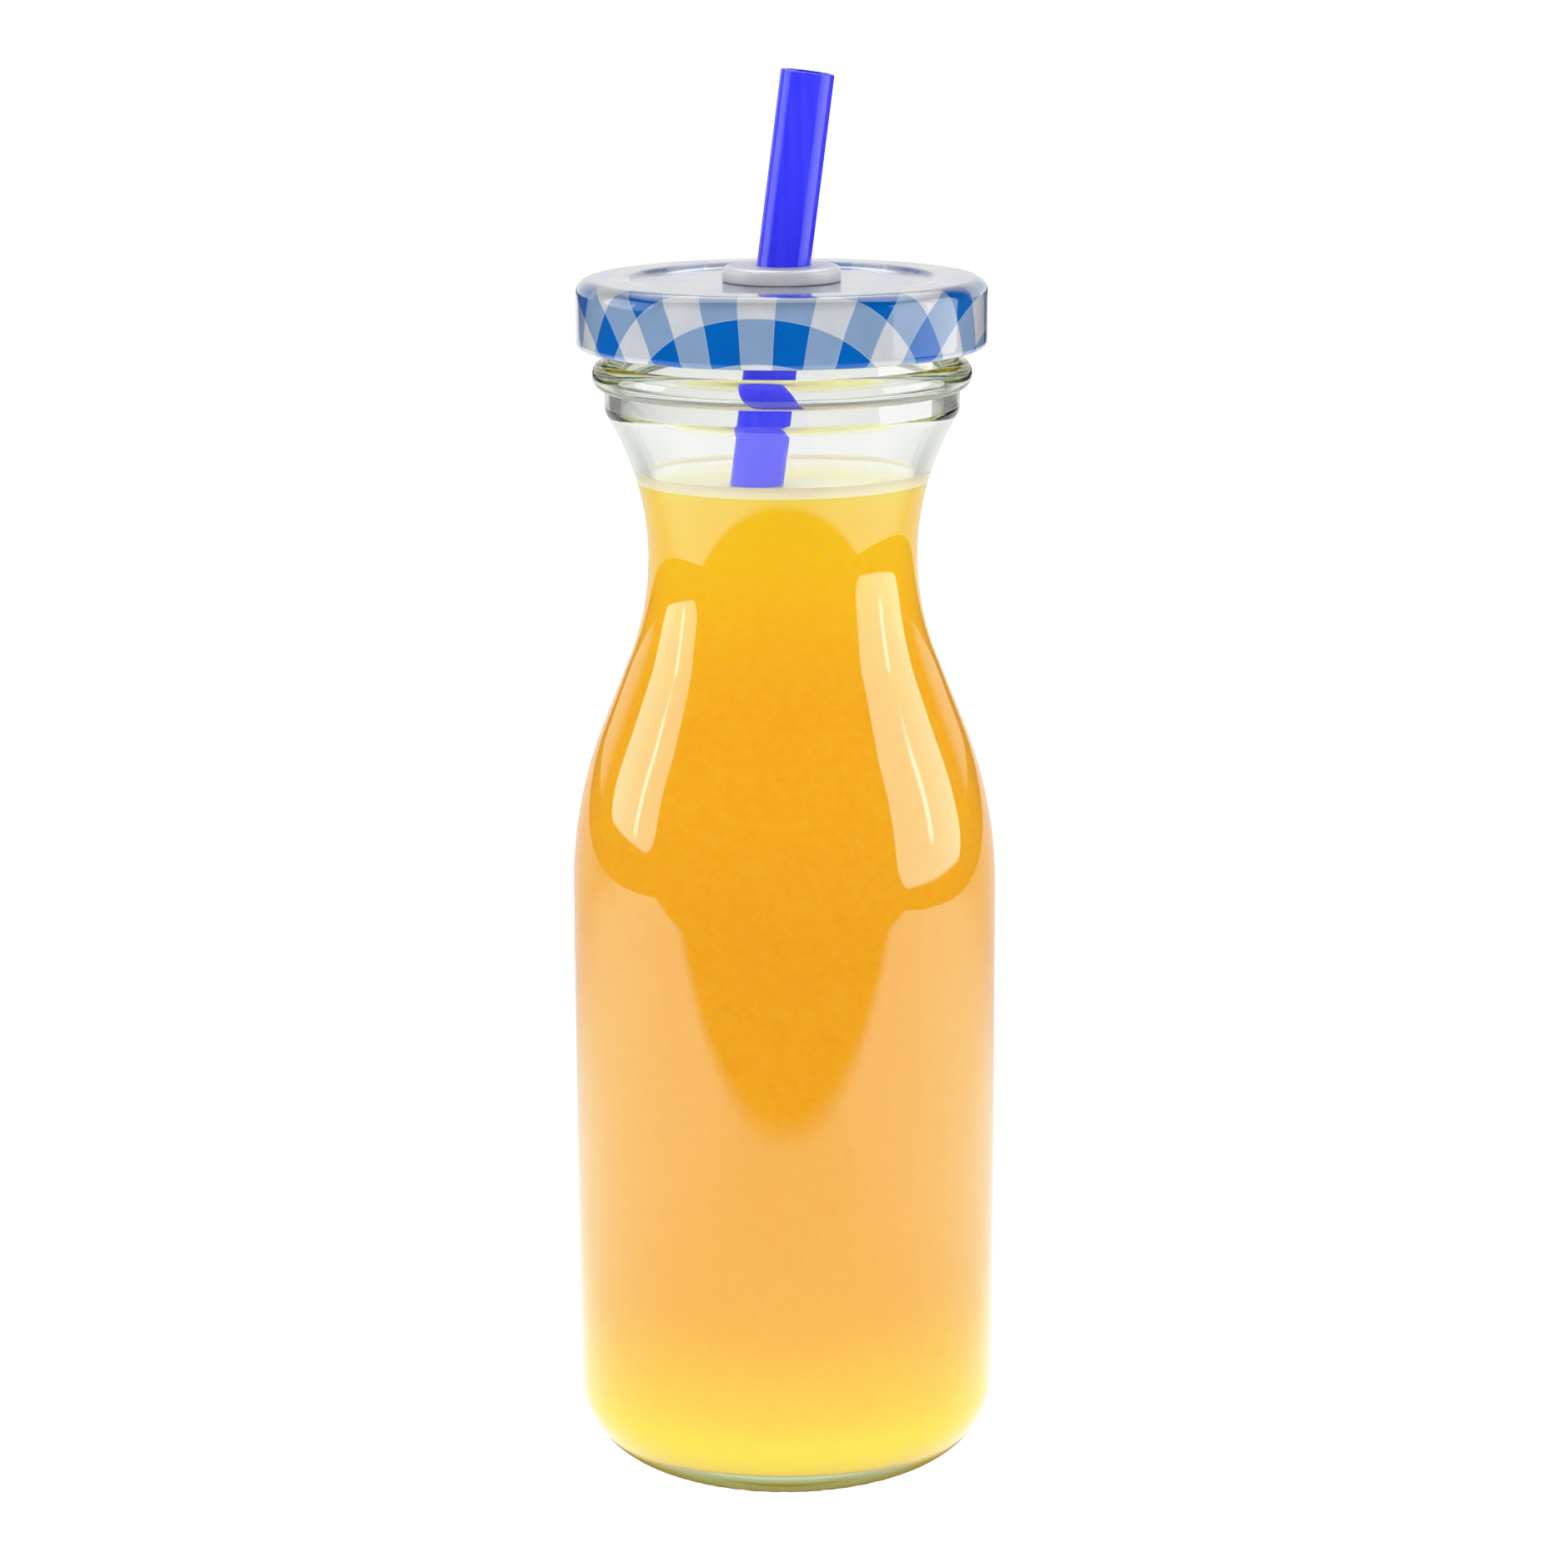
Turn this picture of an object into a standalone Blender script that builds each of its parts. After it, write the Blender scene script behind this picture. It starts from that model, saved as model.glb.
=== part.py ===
"""A glass juice carafe: a waisted bottle, its drink, a twist-off lid, a grommet and a straw.

Blender 4.5, in metres, +Z up. The origin is the centre of the bottle's foot, on the table, and the
straw leans toward +X. Each round piece is a profile of (radius, height) points, turned about its
own axis.
"""

from math import acos, asin, atan2, cos, hypot, pi, radians, sin

import bmesh
import bpy

# Heights and radii of the bottle's outer wall
BODY_RADIUS = 0.0300
HEEL_ARC = 0.0105
SHOULDER_Z = 0.0835
SHOULDER_ARC = 0.0625
WAIST_RADIUS = 0.01885
WAIST_Z = 0.1310
WAIST_ARC = 0.0390
NECK_RADIUS = 0.02465
CORNER_ARC = 0.0050
BEAD_Z = 0.1565
BEAD_ARC = 0.0021
BEAD_REACH = 0.02635
RIM_Z = 0.1690
RIM_ARC = 0.0008

# The foot: a flat ring round a shallow push-up
FOOT_INNER_RADIUS = 0.0170
PUSH_UP_EDGE_RADIUS = 0.0155
PUSH_UP_EDGE_Z = 0.0009
PUSH_UP_RADIUS = 0.0080
PUSH_UP_Z = 0.0020

# The glass wall and the inner floor
WALL = 0.0022
FLOOR_Z = 0.0046
FLOOR_ARC = 0.0080
FLOOR_RISE = 0.0016

# The gap that every fitted piece keeps to its neighbour
GAP = 0.0003

# The drink
JUICE_LEVEL_Z = 0.1416

# The lid: thin sheet, with a raised ring round its panel and a rolled lower edge
LID_RADIUS = 0.02845
LID_TOP_Z = 0.1698
LID_SHEET = 0.0005
LID_EDGE_ARC = 0.0020
LID_PANEL_Z = 0.1692
LID_RING_INNER_RADIUS = 0.0214
LID_STEP_WIDTH = 0.0009
LID_CURL_ARC = 0.0010
LID_CURL_Z = 0.1612
LID_HOLE_RADIUS = 0.0056

# The grommet: a groove between two flanges
FLANGE_RADIUS = 0.0082
FLANGE_THICKNESS = 0.0022
FLANGE_ARC = 0.0009
LOWER_FLANGE_RADIUS = 0.0070
LOWER_FLANGE_THICKNESS = 0.0014

# The straw, which passes through the centre of the lid's hole
STRAW_RADIUS = 0.0037
STRAW_WALL = 0.0007
STRAW_LENGTH = 0.1900
STRAW_ABOVE_PANEL = 0.0287
STRAW_LEAN = radians(7.4)

# How finely round shapes are divided
BOTTLE_SIDES = 48
SMALL_SIDES = 32
STRAW_SIDES = 24
LONG_ARC_STEPS = 5
ROUND_STEPS = 5
SHARP_ANGLE = radians(38)
WELD_DISTANCE = 1e-6


def arc(centre, radius, start, end, steps):
    """Points on an arc about centre, with angles measured from +r toward +z."""
    points = []
    for step in range(steps + 1):
        angle = start + (end - start) * step / steps
        points.append((centre[0] + radius * cos(angle), centre[1] + radius * sin(angle)))
    return points


def shoulder_angle():
    """The slope of the straight stretch that touches both the shoulder's and the waist's arc."""
    across = SHOULDER_ARC + WAIST_ARC - (BODY_RADIUS - WAIST_RADIUS)
    up = WAIST_Z - SHOULDER_Z
    return atan2(up, across) - acos((SHOULDER_ARC + WAIST_ARC) / hypot(across, up))


def corner_angle():
    """The slope at which the waist's arc runs into the rounded corner below the neck."""
    across = WAIST_RADIUS + WAIST_ARC - (NECK_RADIUS - CORNER_ARC)
    return acos(across / (WAIST_ARC + CORNER_ARC))


def corner_z():
    """The height at which the rounded corner ends and the upright neck starts."""
    return WAIST_Z + (WAIST_ARC + CORNER_ARC) * sin(corner_angle())


def corner_profile(inset):
    """The rounded corner below the neck, downward."""
    centre = (NECK_RADIUS - CORNER_ARC, corner_z())
    return arc(centre, CORNER_ARC - inset, 0, -corner_angle(), 2)


def waist_profile(inset, top_angle):
    """The waist's arc from top_angle above its narrowest point down to the shoulder."""
    centre = (WAIST_RADIUS + WAIST_ARC, WAIST_Z)
    upper = arc(centre, WAIST_ARC + inset, pi - top_angle, pi, LONG_ARC_STEPS)
    lower = arc(centre, WAIST_ARC + inset, pi, pi + shoulder_angle(), LONG_ARC_STEPS)
    return upper + lower[1:]


def shoulder_profile(inset):
    """The shoulder's arc, down to the top of the straight body."""
    centre = (BODY_RADIUS - SHOULDER_ARC, SHOULDER_Z)
    return arc(centre, SHOULDER_ARC - inset, shoulder_angle(), 0, LONG_ARC_STEPS)


def bead_profile():
    """The rounded bead round the neck, which starts and ends on the neck's wall."""
    centre = (BEAD_REACH - BEAD_ARC, BEAD_Z)
    edge = acos((NECK_RADIUS - centre[0]) / BEAD_ARC)
    return arc(centre, BEAD_ARC, edge, -edge, 2 * ROUND_STEPS - 2)


def floor_profile(inset):
    """The inner heel and the slightly raised inner floor, down to the axis."""
    centre = (BODY_RADIUS - WALL - FLOOR_ARC, FLOOR_Z + FLOOR_ARC)
    heel = arc(centre, FLOOR_ARC - inset, 0, -pi / 2, ROUND_STEPS)
    return heel + [(0, FLOOR_Z + FLOOR_RISE + inset)]


def inner_profile():
    """The inside of the glass, from the rim down to the centre of the floor."""
    rim_centre = (NECK_RADIUS - WALL + RIM_ARC, RIM_Z - RIM_ARC)
    rim = arc(rim_centre, RIM_ARC, pi / 2, pi, 2)
    waist = waist_profile(WALL, corner_angle())
    return rim + corner_profile(WALL) + waist[1:] + shoulder_profile(WALL) + floor_profile(0)


def outer_profile():
    """The outside of the glass, from the rim down to the centre of the push-up."""
    rim = arc((NECK_RADIUS - RIM_ARC, RIM_Z - RIM_ARC), RIM_ARC, pi / 2, 0, 2)
    waist = waist_profile(0, corner_angle())
    heel = arc((BODY_RADIUS - HEEL_ARC, HEEL_ARC), HEEL_ARC, 0, -pi / 2, ROUND_STEPS + 1)
    foot = [
        (FOOT_INNER_RADIUS, 0),
        (PUSH_UP_EDGE_RADIUS, PUSH_UP_EDGE_Z),
        (PUSH_UP_RADIUS, PUSH_UP_Z),
        (0, PUSH_UP_Z),
    ]
    wall = corner_profile(0) + waist[1:] + shoulder_profile(0)
    return rim + bead_profile() + wall + heel + foot


def juice_profile():
    """The drink, from the middle of its level surface down the wall to the floor."""
    inset = WALL + GAP
    level_angle = asin((JUICE_LEVEL_Z - WAIST_Z) / (WAIST_ARC + inset))
    waist = waist_profile(inset, level_angle)
    return [(0, JUICE_LEVEL_Z)] + waist + shoulder_profile(inset) + floor_profile(GAP)


def lid_sheet_profile(inset):
    """One face of the lid's sheet, from the hole out and down to the rolled edge."""
    ring_z = LID_TOP_Z - inset
    step = [
        (LID_RING_INNER_RADIUS - LID_STEP_WIDTH, LID_PANEL_Z - inset),
        (LID_RING_INNER_RADIUS, ring_z),
    ]
    edge_centre = (LID_RADIUS - LID_EDGE_ARC, LID_TOP_Z - LID_EDGE_ARC)
    edge = arc(edge_centre, LID_EDGE_ARC - inset, pi / 2, 0, ROUND_STEPS - 1)
    return [(LID_HOLE_RADIUS, LID_PANEL_Z - inset)] + step + edge


def lid_profile():
    """The whole closed outline of the lid's section."""
    curl_centre = (LID_RADIUS - LID_CURL_ARC, LID_CURL_Z)
    curl_end = acos((LID_CURL_ARC - LID_SHEET) / LID_CURL_ARC)
    curl = arc(curl_centre, LID_CURL_ARC, 0, curl_end - 2 * pi, 2 * ROUND_STEPS)
    return lid_sheet_profile(0) + curl + list(reversed(lid_sheet_profile(LID_SHEET)))


def grommet_profile():
    """The grommet before its bore is cut, from the middle of its top to that of its underside."""
    top = LID_PANEL_Z + GAP + FLANGE_THICKNESS
    groove_bottom = LID_PANEL_Z - LID_SHEET - GAP
    groove_radius = LID_HOLE_RADIUS - GAP
    rounded = arc((FLANGE_RADIUS - FLANGE_ARC, top - FLANGE_ARC), FLANGE_ARC, pi / 2, 0, 4)
    return (
        [(0, top)]
        + rounded
        + [
            (FLANGE_RADIUS, LID_PANEL_Z + GAP),
            (groove_radius, LID_PANEL_Z + GAP),
            (groove_radius, groove_bottom),
            (LOWER_FLANGE_RADIUS, groove_bottom),
            (groove_radius, groove_bottom - LOWER_FLANGE_THICKNESS),
            (0, groove_bottom - LOWER_FLANGE_THICKNESS),
        ]
    )


def tube_profile(inner, outer, low, high):
    """The closed section of a plain tube."""
    return [(inner, high), (outer, high), (outer, low), (inner, low)]


def turned_mesh(name, profile, closed, sides):
    """A mesh made by turning a profile once round the Z axis."""
    mesh_builder = bmesh.new()
    verts = [mesh_builder.verts.new((radius, 0, z)) for radius, z in profile]
    chain = verts + verts[:1] if closed else verts
    edges = [mesh_builder.edges.new(pair) for pair in zip(chain, chain[1:])]
    bmesh.ops.spin(
        mesh_builder,
        geom=verts + edges,
        cent=(0, 0, 0),
        axis=(0, 0, 1),
        angle=2 * pi,
        steps=sides,
        use_merge=True,
    )
    bmesh.ops.remove_doubles(mesh_builder, verts=mesh_builder.verts, dist=WELD_DISTANCE)
    bmesh.ops.recalc_face_normals(mesh_builder, faces=mesh_builder.faces)
    mesh = bpy.data.meshes.new(name)
    mesh_builder.to_mesh(mesh)
    mesh_builder.free()
    mesh.shade_smooth()
    mesh.set_sharp_from_angle(angle=SHARP_ANGLE)
    return mesh


def turned(name, profile, closed=False, sides=BOTTLE_SIDES):
    """An object turned about the bottle's axis."""
    piece = bpy.data.objects.new(name, turned_mesh(name, profile, closed, sides))
    bpy.context.scene.collection.objects.link(piece)
    return piece


def set_along_straw(piece):
    """Places a piece turned about Z on the straw's leaning axis, at the lid's hole."""
    piece.location = (0, 0, LID_PANEL_Z)
    piece.rotation_euler = (0, STRAW_LEAN, 0)


def cut(piece, cutter):
    """Takes the cutter's shape out of the piece."""
    cutter.hide_render = True
    cutter.display_type = "WIRE"
    difference = piece.modifiers.new("Cut by " + cutter.name, "BOOLEAN")
    difference.operation = "DIFFERENCE"
    difference.object = cutter


def surface(name, colour, roughness, metallic=0.0, transmission=0.0):
    """A plain material in the piece's own colour."""
    material = bpy.data.materials.new(name)
    material.use_nodes = True
    shader = material.node_tree.nodes["Principled BSDF"]
    shader.inputs["Base Color"].default_value = (*colour, 1)
    shader.inputs["Roughness"].default_value = roughness
    shader.inputs["Metallic"].default_value = metallic
    shader.inputs["Transmission Weight"].default_value = transmission
    return material


def make_bottle():
    """The glass, as one skin: down the outside, across the foot, and up the inside."""
    inside = list(reversed(inner_profile()))
    bottle = turned("bottle", inside + outer_profile())
    bottle.data.materials.append(surface("clear glass", (0.93, 0.96, 0.95), 0.02, 0, 1))


def make_juice():
    """The drink, cut round the straw's wall, so that it also stands inside the straw."""
    juice = turned("juice", juice_profile())
    juice.data.materials.append(surface("orange juice", (0.95, 0.45, 0.03), 0.10))
    low = STRAW_ABOVE_PANEL - STRAW_LENGTH - GAP
    ring = tube_profile(STRAW_RADIUS - STRAW_WALL - GAP, STRAW_RADIUS + GAP, low, 0)
    sleeve = turned("straw sleeve cutter", ring, closed=True, sides=STRAW_SIDES)
    set_along_straw(sleeve)
    cut(juice, sleeve)


def make_lid():
    """The pressed lid with its gingham print, here in the print's middle blue."""
    lid = turned("lid", lid_profile(), closed=True)
    lid.data.materials.append(surface("printed tinplate", (0.30, 0.42, 0.68), 0.25, 0.3))


def make_grommet():
    """The pale ring that lines the lid's hole, bored along the straw."""
    grommet = turned("grommet", grommet_profile(), sides=SMALL_SIDES)
    grommet.data.materials.append(surface("pale rubber", (0.78, 0.78, 0.80), 0.45))
    reach = 2 * FLANGE_RADIUS
    bore = turned(
        "grommet bore cutter",
        [(0, reach), (STRAW_RADIUS + GAP, reach), (STRAW_RADIUS + GAP, -reach), (0, -reach)],
        sides=STRAW_SIDES,
    )
    set_along_straw(bore)
    cut(grommet, bore)


def make_straw():
    """The stiff blue tube, cut square at both ends."""
    low = STRAW_ABOVE_PANEL - STRAW_LENGTH
    section = tube_profile(STRAW_RADIUS - STRAW_WALL, STRAW_RADIUS, low, STRAW_ABOVE_PANEL)
    straw = turned("straw", section, closed=True, sides=STRAW_SIDES)
    straw.data.materials.append(surface("blue plastic", (0.05, 0.05, 0.95), 0.30))
    set_along_straw(straw)


def main():
    for leftover in list(bpy.data.objects):
        bpy.data.objects.remove(leftover)
    make_bottle()
    make_juice()
    make_lid()
    make_grommet()
    make_straw()


main()
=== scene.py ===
# %% [markdown]
# A lidded glass carafe of orange juice, dressed around its imported solids. The solids have the right
# form, but their round walls are cut into a few dozen flats, and clear glass shows every flat. So
# each piece is turned again here, much finer, on the same sizes, and gets its real finish. The frame
# is loaded first, and its boxes give those sizes.

# %% Load the frame
import math

import bpy
import mathutils
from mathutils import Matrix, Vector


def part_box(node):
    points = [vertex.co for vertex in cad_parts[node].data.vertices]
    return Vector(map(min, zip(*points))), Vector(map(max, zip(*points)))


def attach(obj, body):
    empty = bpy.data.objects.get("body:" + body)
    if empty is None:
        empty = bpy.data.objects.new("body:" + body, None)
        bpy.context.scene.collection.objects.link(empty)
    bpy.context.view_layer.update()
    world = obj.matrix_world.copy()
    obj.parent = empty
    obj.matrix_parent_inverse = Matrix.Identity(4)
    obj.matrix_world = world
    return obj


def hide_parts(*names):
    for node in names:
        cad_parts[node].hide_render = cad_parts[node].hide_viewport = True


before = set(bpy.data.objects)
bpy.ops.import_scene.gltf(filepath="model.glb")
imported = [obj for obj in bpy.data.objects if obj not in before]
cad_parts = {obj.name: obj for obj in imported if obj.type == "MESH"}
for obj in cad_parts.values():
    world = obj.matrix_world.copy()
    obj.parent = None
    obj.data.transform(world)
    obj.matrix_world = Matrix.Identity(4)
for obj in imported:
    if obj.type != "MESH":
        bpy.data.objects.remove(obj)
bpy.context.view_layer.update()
bottle_low, bottle_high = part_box("bottle")
juice_low, juice_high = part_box("juice")
lid_low, lid_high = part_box("lid")
grommet_low, grommet_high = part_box("grommet")
straw_low, straw_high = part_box("straw")
print("nodes in the frame:", sorted(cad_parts))
print("the drink fills %.1f to %.1f mm" % (juice_low.z * 1000, juice_high.z * 1000))
print("the straw reaches from %.1f to %.1f mm" % (straw_low.z * 1000, straw_high.z * 1000))

# %% [markdown]
# The camera comes before everything else, because it decides what has to look right. A photograph's
# view can be found by trial, by matching known points, or from the object's own outline. The outline
# is used here: how fast the round forms open toward the foot gives the height of the lens, and their
# width against the real 60 mm of the body gives its distance. The picture also leans by a hair.

# %% Camera
PICTURE_SIDE_PX = 1880
FOCAL_LENGTH_PX = 4950
SENSOR_WIDTH_MM = 36.0
AIM_HEIGHT = 0.0981
CAMERA_DISTANCE = 0.5846
LOOK_DOWN = math.radians(12.8)
CAMERA_ROLL = math.radians(-0.27)


def make_camera():
    data = bpy.data.cameras.new("camera")
    data.sensor_width = SENSOR_WIDTH_MM
    data.lens = FOCAL_LENGTH_PX / PICTURE_SIDE_PX * SENSOR_WIDTH_MM
    camera = bpy.data.objects.new("camera", data)
    bpy.context.scene.collection.objects.link(camera)
    back = CAMERA_DISTANCE * math.cos(LOOK_DOWN)
    up = AIM_HEIGHT + CAMERA_DISTANCE * math.sin(LOOK_DOWN)
    tilt = mathutils.Matrix.Rotation(math.pi / 2 - LOOK_DOWN, 4, "X")
    roll = mathutils.Matrix.Rotation(CAMERA_ROLL, 4, "Z")
    camera.matrix_world = mathutils.Matrix.Translation((0, -back, up)) @ tilt @ roll
    bpy.context.scene.camera = camera
    return camera


camera = make_camera()
print("lens %.1f mm, eye %.0f mm above the table" % (camera.data.lens, camera.location.z * 1000))

# %% [markdown]
# A real camera squeezes the last steps before white together. The plain view cuts a bright red off
# instead, which turns an orange drink flat and peach, and a view with a look of its own would bend
# every colour. So the plain view is kept, with one curve that bends only what is brighter than about
# 0.8. Light is followed through more faces than usual, or the ends of the glass beads turn black.

# %% View and bounces
FILM_WHITE = 1.36
STRAIGHT_PART = [(0.2, 0.2), (0.5, 0.5), (0.75, 0.75)]
FILM_SHOULDER = [(0.86, 0.856), (0.95, 0.915), (1.05, 0.955), (1.2, 0.985)]
MOST_BOUNCES = 32
MIRROR_BOUNCES = 16
GLASS_BOUNCES = 24


def set_soft_shoulder():
    """Lays the curve through pairs of (light, shown), where FILM_WHITE is shown as full white."""
    view = bpy.context.scene.view_settings
    view.view_transform = "Standard"
    view.use_curve_mapping = True
    view.curve_mapping.white_level = (FILM_WHITE, FILM_WHITE, FILM_WHITE)
    combined = view.curve_mapping.curves[3]
    for light, shown in STRAIGHT_PART + FILM_SHOULDER:
        combined.points.new(light / FILM_WHITE, shown)
    view.curve_mapping.update()
    return combined


def set_bounces():
    cycles = bpy.context.scene.cycles
    cycles.max_bounces = MOST_BOUNCES
    cycles.glossy_bounces = MIRROR_BOUNCES
    cycles.transmission_bounces = GLASS_BOUNCES


shoulder_curve = set_soft_shoulder()
set_bounces()
print("the view's curve has", len(shoulder_curve.points), "points")

# %% [markdown]
# Nearly every piece is turned: a half section swung round an axis, as on a potter's wheel. Blender
# has a Screw modifier and a spin operator for this. A small function of its own is used instead,
# because it also knows which ring of points it is making: that lets it give a ring its own material,
# lay out a flat map for the lid's print, and press fine notches into the foot.

# %% Points on an arc
def arc(centre, radius, start, end, steps):
    """Points (r, z) on an arc about centre, with angles measured from +r toward +z."""
    points = []
    for step in range(steps + 1):
        angle = start + (end - start) * step / steps
        points.append((centre[0] + radius * math.cos(angle), centre[1] + radius * math.sin(angle)))
    return points


sample = arc((0, 0), 1.0, 0, math.pi / 2, 2)
print("a quarter circle in two steps:", [(round(r, 3), round(z, 3)) for r, z in sample])

# %% Turn a section about Z
FINE_SIDES = 192


def turned_mesh(name, profile, sides=FINE_SIDES, closed=False, lift=None):
    """Turns (r, z) points about Z. lift(r, z, angle) may give a point a new height."""
    verts = []
    rings = []
    for r, z in profile:
        if r == 0:
            rings.append([len(verts)] * sides)
            verts.append((0, 0, z))
            continue
        rings.append(list(range(len(verts), len(verts) + sides)))
        for side in range(sides):
            angle = 2 * math.pi * side / sides
            height = lift(r, z, angle) if lift else z
            verts.append((r * math.cos(angle), r * math.sin(angle), height))
    faces = []
    bands = []
    pairs = list(zip(rings, rings[1:]))
    if closed:
        pairs.append((rings[-1], rings[0]))
    for band, (upper, lower) in enumerate(pairs):
        for side in range(sides):
            after = (side + 1) % sides
            corners = [upper[side], lower[side], lower[after], upper[after]]
            face = [c for i, c in enumerate(corners) if c not in corners[:i]]
            if len(face) > 2:
                faces.append(face)
                bands.append(band)
    mesh = bpy.data.meshes.new(name)
    mesh.from_pydata(verts, [], faces)
    mesh.shade_smooth()
    return mesh, bands


flatness = 1 - math.cos(math.pi / FINE_SIDES)
print("%d sides come short of a true circle by %.5f of its radius" % (FINE_SIDES, flatness))

# %% Place and measure a piece
def add_piece(name, mesh):
    piece = bpy.data.objects.new(name, mesh)
    bpy.context.scene.collection.objects.link(piece)
    return piece


def report_piece(piece):
    size = [round(side * 1000, 1) for side in piece.dimensions]
    print(piece.name, size, "mm,", len(piece.data.polygons), "faces")


# %% [markdown]
# The bottle is one blown skin of glass. Its outline is a chain of arcs: a round heel, a straight
# body, a long shoulder, a narrow waist that opens again to the neck, and a bead under the lid. The
# inside follows at one wall's thickness, except that the floor is thicker.

# %% Sizes of the glass
BODY_RADIUS = (bottle_high.x - bottle_low.x) / 2
RIM_Z = bottle_high.z
HEEL_ARC = 0.0105
SHOULDER_Z = 0.0835
SHOULDER_ARC = 0.0625
WAIST_RADIUS = 0.01885
WAIST_Z = 0.1310
WAIST_ARC = 0.0390
NECK_RADIUS = 0.02465
CORNER_ARC = 0.0028
BEAD_Z = 0.1565
BEAD_ARC = 0.0021
BEAD_REACH = 0.02635
RIM_ARC = 0.0008
WALL = 0.0022
FLOOR_Z = 0.0051
FLOOR_ARC = 0.0075
FLOOR_RISE = 0.0016
FOOT_INNER_RADIUS = 0.0170
PUSH_UP_EDGE_RADIUS = 0.0155
PUSH_UP_EDGE_Z = 0.0009
PUSH_UP_RADIUS = 0.0080
PUSH_UP_Z = 0.0020

print("the body is %.1f mm across, the rim at %.1f mm" % (BODY_RADIUS * 2000, RIM_Z * 1000))

# %% [markdown]
# The shoulder and the waist bend opposite ways, and a straight stretch touches both, so its slope
# follows from their radii and centres and is worked out here. Offsetting a mesh with Solidify would
# give the wall, but not the thick floor, so both faces are drawn from the same arcs, where a wall is
# simply a smaller or a larger radius about the same centre.

# %% Arcs of the wall
LONG_STEPS = 24
ROUND_STEPS = 12


def shoulder_angle():
    """The slope of the straight stretch that touches both the shoulder's and the waist's arc."""
    across = SHOULDER_ARC + WAIST_ARC - (BODY_RADIUS - WAIST_RADIUS)
    up = WAIST_Z - SHOULDER_Z
    return math.atan2(up, across) - math.acos((SHOULDER_ARC + WAIST_ARC) / math.hypot(across, up))


def corner_angle():
    """The slope at which the waist's arc runs into the rounded corner below the neck."""
    across = WAIST_RADIUS + WAIST_ARC - (NECK_RADIUS - CORNER_ARC)
    return math.acos(across / (WAIST_ARC + CORNER_ARC))


def straight(start, end, steps):
    """Points along a straight stretch, without its two ends."""
    shares = [step / steps for step in range(1, steps)]
    return [(start[0] + (end[0] - start[0]) * s, start[1] + (end[1] - start[1]) * s) for s in shares]


def wall_below_neck(inset, top_angle):
    """The waist, the shoulder and the straight body, from top_angle on the waist's arc down."""
    waist_centre = (WAIST_RADIUS + WAIST_ARC, WAIST_Z)
    shoulder_centre = (BODY_RADIUS - SHOULDER_ARC, SHOULDER_Z)
    lean = shoulder_angle()
    waist = arc(waist_centre, WAIST_ARC + inset, math.pi - top_angle, math.pi + lean, 2 * LONG_STEPS)
    shoulder = arc(shoulder_centre, SHOULDER_ARC - inset, lean, 0, LONG_STEPS)
    return waist + straight(waist[-1], shoulder[0], 6) + shoulder


def corner(inset):
    z = WAIST_Z + (WAIST_ARC + CORNER_ARC) * math.sin(corner_angle())
    return arc((NECK_RADIUS - CORNER_ARC, z), CORNER_ARC - inset, 0, -corner_angle(), ROUND_STEPS)


def inner_floor(inset):
    """The inner heel and floor, from the wall down to the axis."""
    centre = (BODY_RADIUS - WALL - FLOOR_ARC, FLOOR_Z + FLOOR_ARC)
    heel = arc(centre, FLOOR_ARC - inset, 0, -math.pi / 2, ROUND_STEPS)
    middle = (0, FLOOR_Z + FLOOR_RISE + inset)
    return heel + straight(heel[-1], middle, 6) + [middle]


print("shoulder leans %.1f degrees" % math.degrees(shoulder_angle()))

# %% [markdown]
# Real bottles stand on a ring of fine notches, pressed by the mould, which keep the hot glass off
# the belt. They are what glitters along the front of the foot. They could be a bump in the material,
# but they lie on the edge of the outline, where a bump shows nothing, so they are real: the foot's
# rings of points rise and fall by at most 0.15 mm, and two slow waves keep the notches uneven.

# %% The glass
GLASS_SIDES = 320
NOTCH_COUNT = 64
NOTCH_DEPTH = 0.00015
NOTCH_OUTER_RADIUS = 0.0252
NOTCH_TOP_Z = 0.0022


def foot_notches(r, z, angle):
    """The height of a point of the foot, with the notches that the mould presses into it."""
    if not (FOOT_INNER_RADIUS <= r <= NOTCH_OUTER_RADIUS and z < NOTCH_TOP_Z):
        return z
    wave = 0.5 - 0.5 * math.cos(NOTCH_COUNT * angle + 2.0 * math.sin(9 * angle))
    uneven_depth = 0.75 + 0.25 * math.sin(23 * angle + 1.0)
    return z + NOTCH_DEPTH * wave * uneven_depth * (1 - z / NOTCH_TOP_Z)


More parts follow.
